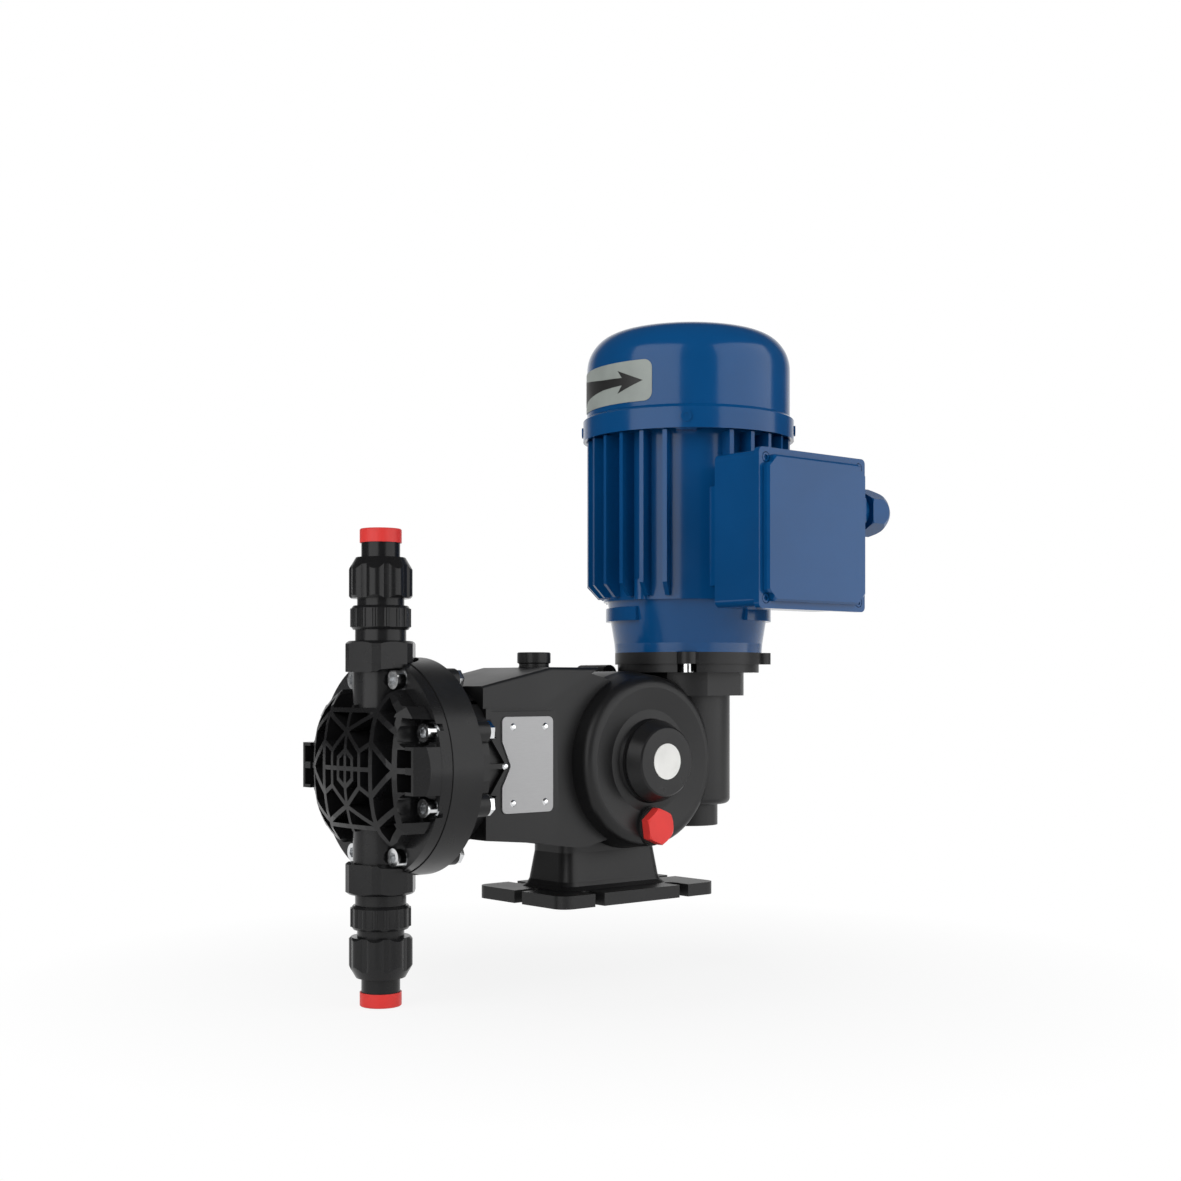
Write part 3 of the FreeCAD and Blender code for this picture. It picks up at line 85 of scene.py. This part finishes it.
class Paint:
    """One material: its Principled shader and the nodes that feed it."""

    def __init__(self, name, colour, metallic=0.0, coat=0.0, coat_roughness=0.1, specular=0.5):
        self.material = bpy.data.materials.new(name)
        self.material.use_nodes = True
        self.tree = self.material.node_tree
        self.shader = self.tree.nodes["Principled BSDF"]
        self.colour = colour
        self.set("Metallic", metallic)
        self.set("Coat Weight", coat)
        self.set("Coat Roughness", coat_roughness)
        self.set("Specular IOR Level", specular)
        self.place = self.add("ShaderNodeTexCoord", {}, {}, "Object")

    def set(self, socket, value):
        if isinstance(value, Value):
            self.tree.links.new(value.socket, self.shader.inputs[socket])
        else:
            self.shader.inputs[socket].default_value = value

    def add(self, kind, settings, inputs, output=0):
        node = self.tree.nodes.new(kind)
        for key, setting in settings.items():
            setattr(node, key, setting)
        for key, value in inputs.items():
            if isinstance(value, Value):
                self.tree.links.new(value.socket, node.inputs[key])
            else:
                node.inputs[key].default_value = value
        return Value(self, node.outputs[output])

    def noise(self, scale, detail=3.0, where=None):
        inputs = {"Vector": where or self.place, "Scale": scale, "Detail": detail}
        return self.add("ShaderNodeTexNoise", {}, inputs)

    def stretched_noise(self, scale, stretch):
        """Noise drawn out into fine lines across the axis with the largest stretch."""
        where = self.add("ShaderNodeMapping", {}, {"Vector": self.place, "Scale": stretch})
        return self.noise(scale, 4.0, where)

    def spread(self, value, low, high, new_low=0.0, new_high=1.0):
        inputs = {"Value": value, "From Min": low, "From Max": high, "To Min": new_low, "To Max": new_high}
        return self.add("ShaderNodeMapRange", {"clamp": True}, inputs)

    def tint(self, pattern, low, high, dark, light):
        """Base colour between two strengths of the paint's own colour, over a pattern's range."""
        inputs = {"Factor": self.spread(pattern, low, high),
                  6: (*(dark * part for part in self.colour), 1.0),
                  7: (*(light * part for part in self.colour), 1.0)}
        self.set("Base Color", self.add("ShaderNodeMix", {"data_type": "RGBA"}, inputs, 2))

    def gloss(self, pattern, smooth, rough):
        self.set("Roughness", self.spread(pattern, 0.3, 0.7, smooth, rough))

    def bump(self, height, distance, strength):
        inputs = {"Height": height, "Distance": distance, "Strength": strength}
        self.set("Normal", self.add("ShaderNodeBump", {}, inputs))


# Finishes
def cast_black():
    """Satin powder coat on cast metal: fine orange peel over soft unevenness."""
    paint = Paint("cast_black", (0.0105, 0.0105, 0.011), specular=0.3)
    grain = paint.noise(900, 2.0)
    cloud = paint.noise(18, 4.0)
    paint.tint(cloud, 0.35, 0.65, 0.88, 1.12)
    paint.gloss(cloud, 0.33, 0.43)
    paint.bump(grain * 0.6 + paint.noise(160, 2.0) * 0.4, 0.0001, 0.35)
    return paint.material


def moulded(name, colour, smooth, rough, depth=0.00005, grain_scale=1400):
    """Moulded plastic: faint flow clouds, a fine etched grain and slightly uneven gloss."""
    paint = Paint(name, colour, specular=0.24)
    paint.tint(paint.noise(30, 3.0), 0.35, 0.65, 0.9, 1.1)
    paint.gloss(paint.noise(60, 4.0), smooth, rough)
    paint.bump(paint.noise(grain_scale, 2.0), depth, 0.5)
    return paint.material


def motor_enamel(colour):
    """Glossy enamel sprayed over a casting."""
    paint = Paint("motor_blue", colour, coat=0.18, coat_roughness=0.1, specular=0.22)
    paint.tint(paint.noise(14, 3.0), 0.35, 0.65, 0.93, 1.07)
    paint.gloss(paint.noise(45, 3.0), 0.15, 0.21)
    paint.bump(paint.noise(520, 2.0) * 0.7 + paint.noise(90, 2.0) * 0.3, 0.00006, 0.25)
    return paint.material


def zinc():
    """Bright zinc plate with a faint cloudy passivation."""
    paint = Paint("zinc", (0.72, 0.73, 0.74), metallic=1.0)
    cloud = paint.noise(260, 4.0)
    paint.tint(cloud, 0.3, 0.7, 0.85, 1.05)
    paint.gloss(cloud, 0.13, 0.22)
    paint.bump(paint.noise(2400, 2.0), 0.000004, 0.2)
    return paint.material


def metal(name, colour, smooth, rough, streaks=(1.0, 1.0, 14.0)):
    """Machined metal with fine tool marks."""
    paint = Paint(name, colour, metallic=1.0)
    marks = paint.stretched_noise(420, streaks)
    paint.tint(marks, 0.3, 0.7, 0.88, 1.08)
    paint.gloss(marks, smooth, rough)
    paint.bump(marks, 0.00003, 0.4)
    return paint.material


def nameplate_grey():
    """Blank anodised plate, brushed along its length."""
    paint = Paint("plate_grey", (0.36, 0.36, 0.365), metallic=0.35)
    brushed = paint.stretched_noise(260, (1.0, 1.0, 30.0))
    paint.tint(brushed, 0.25, 0.75, 0.93, 1.05)
    paint.gloss(brushed, 0.36, 0.48)
    paint.bump(brushed, 0.00002, 0.4)
    return paint.material


def label(name, colour):
    """Printed foil: slightly cloudy, with a faint scuff."""
    paint = Paint(name, colour, specular=0.4)
    cloud = paint.noise(55, 4.0)
    paint.tint(cloud, 0.3, 0.7, 0.9, 1.08)
    paint.gloss(cloud, 0.4, 0.55)
    paint.bump(paint.noise(900, 2.0), 0.00002, 0.3)
    return paint.material


BLUE = (0.0022, 0.063, 0.2)
finishes = {
    "cast_black": cast_black(),
    "plastic_black": moulded("plastic_black", (0.0095, 0.0095, 0.010), 0.2, 0.3),
    "plastic_dark": moulded("plastic_dark", (0.014, 0.014, 0.0145), 0.26, 0.36),
    "motor_blue": motor_enamel(BLUE),
    "gland_blue": moulded("gland_blue", BLUE, 0.2, 0.3),
    "cap_red": moulded("cap_red", (0.74, 0.045, 0.04), 0.34, 0.46),
    "disc_white": moulded("disc_white", (0.86, 0.86, 0.83), 0.3, 0.4),
    "plate_grey": nameplate_grey(),
    "zinc": zinc(),
    "steel": metal("steel", (0.55, 0.55, 0.56), 0.22, 0.36),
    "bronze": metal("bronze", (0.66, 0.42, 0.18), 0.26, 0.4, (1.0, 14.0, 1.0)),
    "rubber_black": moulded("rubber_black", (0.018, 0.018, 0.018), 0.6, 0.75, 0.00008, 700),
    "ptfe_white": moulded("ptfe_white", (0.78, 0.78, 0.76), 0.42, 0.52),
    "ball_ceramic": moulded("ball_ceramic", (0.84, 0.82, 0.76), 0.1, 0.16, 0.000005),
    "core_steel": metal("core_steel", (0.32, 0.32, 0.33), 0.4, 0.55, (1.0, 1.0, 40.0)),
    "arrow_plate": label("arrow_plate", (0.30, 0.33, 0.31)),
    "arrow_print": label("arrow_print", (0.012, 0.012, 0.012)),
    "board_brown": moulded("board_brown", (0.12, 0.06, 0.03), 0.35, 0.5),
}
slot_of = {entry["node"]: entry["material_slot"] for entry in frame["record"]["subparts"]}
for name, thing in nodes.items():
    thing.data.materials.clear()
    thing.data.materials.append(finishes[slot_of[name]])

# Arrow plate on the fan cover, laid out along the cover's rim in mm
MM = 0.001
MOTOR_X, MOTOR_Y = 60.8, -15.0
COVER_RADIUS = 62.2
PLATE_THICKNESS = 0.4
PRINT_THICKNESS = 0.06
BEND_STEP = 2.0


def rim(degrees):
    return math.radians(degrees) * COVER_RADIUS


def rounded_outline(left, right, low, high, radius, steps=6):
    centres = ((right - radius, high - radius), (left + radius, high - radius),
               (left + radius, low + radius), (right - radius, low + radius))
    outline = []
    for quarter, (s, z) in enumerate(centres):
        for step in range(steps + 1):
            angle = math.pi / 2 * (quarter + step / steps)
            outline.append((s + radius * math.cos(angle), z + radius * math.sin(angle)))
    return outline


def wrapped_sheet(name, outline, lift, thickness):
    """A flat outline bent around the fan cover, with its back lift mm above the paint."""
    mesh = bmesh.new()
    mesh.faces.new([mesh.verts.new((s, z, 0.0)) for s, z in outline])
    low, high = min(s for s, z in outline), max(s for s, z in outline)
    cuts = int((high - low) / BEND_STEP)
    for index in range(1, cuts):
        at = low + (high - low) * index / cuts
        bmesh.ops.bisect_plane(mesh, geom=mesh.verts[:] + mesh.edges[:] + mesh.faces[:],
                               plane_co=(at, 0, 0), plane_no=(1, 0, 0), dist=1e-5)
    bmesh.ops.triangulate(mesh, faces=[face for face in mesh.faces if len(face.verts) > 4])
    centre = Vector((MOTOR_X, MOTOR_Y, 0)) * MM
    radius = COVER_RADIUS + lift + thickness
    for vert in mesh.verts:
        angle = vert.co.x / COVER_RADIUS
        height = vert.co.y
        vert.co = centre + Vector((radius * math.cos(angle), radius * math.sin(angle), height)) * MM
    bmesh.ops.recalc_face_normals(mesh, faces=mesh.faces[:])
    first = mesh.faces[:][0]
    outward = first.calc_center_median() - centre
    if first.normal.dot(Vector((outward.x, outward.y, 0))) < 0:
        bmesh.ops.reverse_faces(mesh, faces=mesh.faces[:])
    data = bpy.data.meshes.new(name)
    mesh.to_mesh(data)
    mesh.free()
    data.materials.append(finishes[name])
    thing = bpy.data.objects.new(name, data)
    bpy.context.collection.objects.link(thing)
    thickener = thing.modifiers.new("thickness", "SOLIDIFY")
    thickener.thickness = thickness * MM
    thickener.offset = -1
    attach(thing, "base")


plate_outline = rounded_outline(left=rim(138.0), right=rim(206.2), low=291.8, high=316.0, radius=5.0)
wrapped_sheet("arrow_plate", plate_outline, 0.0, PLATE_THICKNESS)
arrow_outline = [(rim(201.0), 303.9), (rim(184.3), 311.1), (rim(187.4), 306.6), (rim(172.0), 307.3),
                 (rim(153.0), 309.6), (rim(140.0), 311.9), (rim(140.0), 296.4), (rim(153.0), 298.9),
                 (rim(172.0), 301.3), (rim(187.4), 302.2), (rim(184.3), 297.6)]
wrapped_sheet("arrow_print", arrow_outline, PLATE_THICKNESS, PRINT_THICKNESS)

# Studio floor and backdrop, white to the eye and in what gloss shows behind the object
FLOOR_SIZE = 14
FLOOR_GAP = 0.0006
FLOOR_GREY = 0.7
WHITE_NEAR, WHITE_FAR = 0.1, 0.36
SHADOW_WHITE = 0.86
AMBIENT = 0.26
AMBIENT_IN_GLOSS = 0.06
TO_BACKDROP = (0.6526, 0.7577, 0.0)

floor_z = cad_box[0][2] - FLOOR_GAP
bpy.ops.mesh.primitive_plane_add(size=FLOOR_SIZE, location=(0, 0, floor_z))
floor = bpy.context.object
floor.name = "studio_floor"


class Backdrop(Paint):
    """A floor or world shader that some rays see as white."""

    def __init__(self, tree):
        self.tree = tree

    def seen(self, kind):
        return self.add("ShaderNodeLightPath", {}, {}, kind)

    def whiten(self, lit, factor, kind, out):
        white = self.add(kind, {}, {"Color": (1, 1, 1, 1), "Strength": 1.0})
        mixed = self.add("ShaderNodeMixShader", {}, {0: factor, 1: lit, 2: white})
        self.tree.links.new(mixed.socket, out)


floor_paint = bpy.data.materials.new("studio_floor")
floor_paint.use_nodes = True
ground = Backdrop(floor_paint.node_tree)
ground_shader = floor_paint.node_tree.nodes["Principled BSDF"]
ground_shader.inputs["Base Color"].default_value = (FLOOR_GREY, FLOOR_GREY, FLOOR_GREY, 1)
ground_shader.inputs["Roughness"].default_value = 0.9
ground_shader.inputs["Specular IOR Level"].default_value = 0.1
position = ground.add("ShaderNodeTexCoord", {}, {}, "Object")
distance = ground.add("ShaderNodeVectorMath", {"operation": "LENGTH"}, {0: position}, "Value")
whiteness = ground.spread(distance, WHITE_NEAR, WHITE_FAR, SHADOW_WHITE, 1.0)
eyes = ground.seen("Is Camera Ray").math("MAXIMUM", ground.seen("Is Glossy Ray"))
eyes = eyes.math("MAXIMUM", ground.seen("Is Transmission Ray"))
ground.whiten(Value(ground, ground_shader.outputs[0]), eyes * whiteness, "ShaderNodeEmission",
              floor_paint.node_tree.nodes["Material Output"].inputs["Surface"])
floor.data.materials.append(floor_paint)

world = bpy.data.worlds.new("studio")
bpy.context.scene.world = world
world.use_nodes = True
room = Backdrop(world.node_tree)
background = world.node_tree.nodes["Background"]
background.inputs["Color"].default_value = (1, 1, 1, 1)
ambient = AMBIENT - room.seen("Is Glossy Ray") * (AMBIENT - AMBIENT_IN_GLOSS)
room.tree.links.new(ambient.socket, background.inputs["Strength"])
heading = room.add("ShaderNodeTexCoord", {}, {}, "Generated")
toward = room.add("ShaderNodeVectorMath", {"operation": "DOT_PRODUCT"}, {0: heading, 1: TO_BACKDROP}, "Value")
behind_object = room.spread(toward, 0.7, 0.95)
eyes = room.seen("Is Camera Ray").math("MAXIMUM", room.seen("Is Transmission Ray"))
eyes = eyes.math("MAXIMUM", room.seen("Is Glossy Ray") * behind_object)
room.whiten(Value(room, background.outputs[0]), eyes, "ShaderNodeBackground",
            world.node_tree.nodes["World Output"].inputs["Surface"])

# Two soft boxes beside the camera, with a dark gap between them
LAMP_DISTANCE = 1.5
LAMP_HEIGHT = 0.4
LAMP_LENGTH = 2.2
AIM = Vector((0, 0, 0.14))


def soft_box(name, azimuth, width, power):
    light = bpy.data.lights.new(name, "AREA")
    light.shape = "RECTANGLE"
    light.size, light.size_y = width, LAMP_LENGTH
    light.energy = power
    thing = bpy.data.objects.new(name, light)
    bpy.context.collection.objects.link(thing)
    turn = math.radians(azimuth)
    place = Vector((LAMP_DISTANCE * math.cos(turn), LAMP_DISTANCE * math.sin(turn), LAMP_HEIGHT))
    thing.location = place
    thing.rotation_euler = (AIM - place).to_track_quat("-Z", "Y").to_euler()


soft_box("left_softbox", azimuth=190, width=1.6, power=24)
soft_box("right_softbox", azimuth=296, width=2.1, power=27)

# Camera at the photograph's viewing angle, level, with the horizon below the middle of the frame
PHOTO_SIZE = 1181
FOCAL_PIXELS = 1709.57
HORIZON_ROW = 684.55
SENSOR = 36
CAMERA_PLACE = (-0.6716, -0.77313, 0.12619)
CAMERA_HEADING = 49.26

camera_data = bpy.data.cameras.new("camera")
camera_data.sensor_width = SENSOR
camera_data.lens = FOCAL_PIXELS / PHOTO_SIZE * SENSOR
camera_data.shift_y = (HORIZON_ROW - PHOTO_SIZE / 2) / PHOTO_SIZE
camera_data.clip_end = 30
camera = bpy.data.objects.new("camera", camera_data)
bpy.context.collection.objects.link(camera)
camera.location = CAMERA_PLACE
camera.rotation_euler = (math.radians(90), 0, math.radians(CAMERA_HEADING - 90))
scene = bpy.context.scene
scene.camera = camera
scene.view_settings.view_transform = "Standard"
